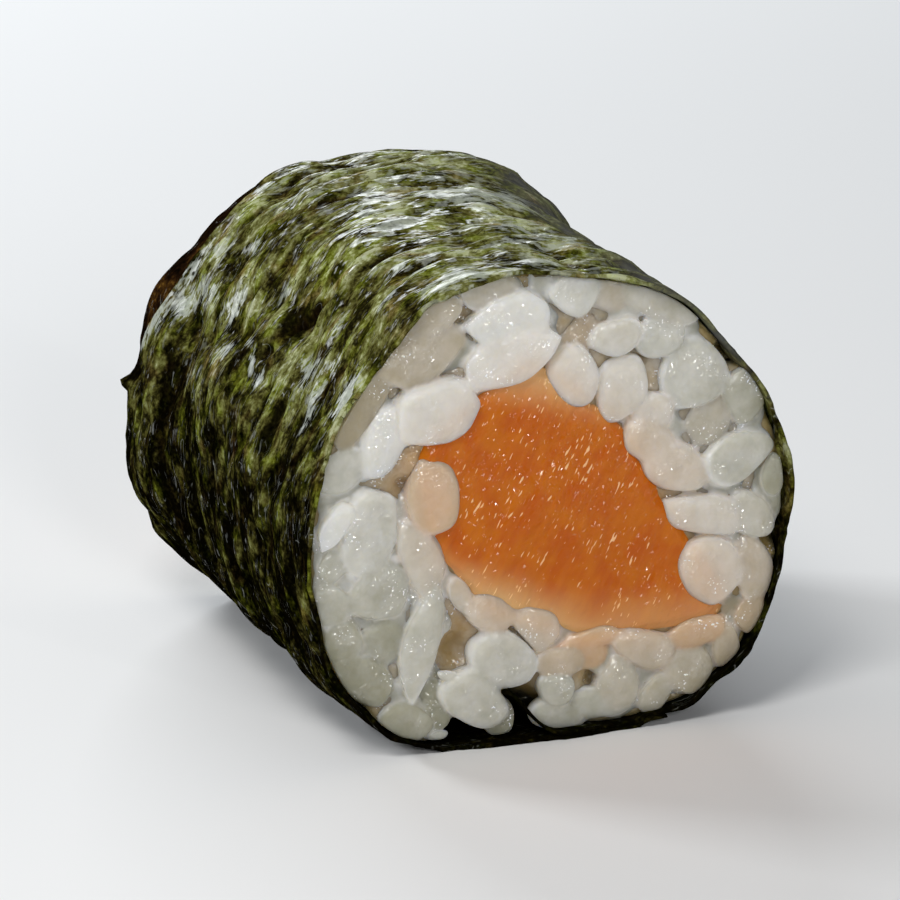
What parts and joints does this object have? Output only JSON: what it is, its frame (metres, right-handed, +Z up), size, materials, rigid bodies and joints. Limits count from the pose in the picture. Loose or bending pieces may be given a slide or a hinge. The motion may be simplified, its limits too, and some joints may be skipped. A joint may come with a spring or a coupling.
{
  "type": "hosomaki",
  "caption": "Cut piece of thin sushi roll: a strip of raw salmon in pressed rice, wrapped in a sheet of nori, lying on its side.",
  "frame": {"origin": "on the surface that the piece lies on, under the middle of its bounding box", "axes": "+Y along the roll's axis, from the front cut to the back cut; +Z up, away from the flat that the piece lies on; +X to the right as the front cut is looked at"},
  "size_m": [0.0288, 0.0314, 0.0269],
  "materials": {
    "nori": "moist seaweed, dark olive green, satin with glossy streaks",
    "rice": "cooked rice, translucent milky white, moist",
    "salmon": "raw salmon, orange, moist and slightly translucent"
  },
  "bodies": {
    "root": {"nori": "nori", "rice": "rice", "salmon": "salmon"}
  },
  "joints": []
}
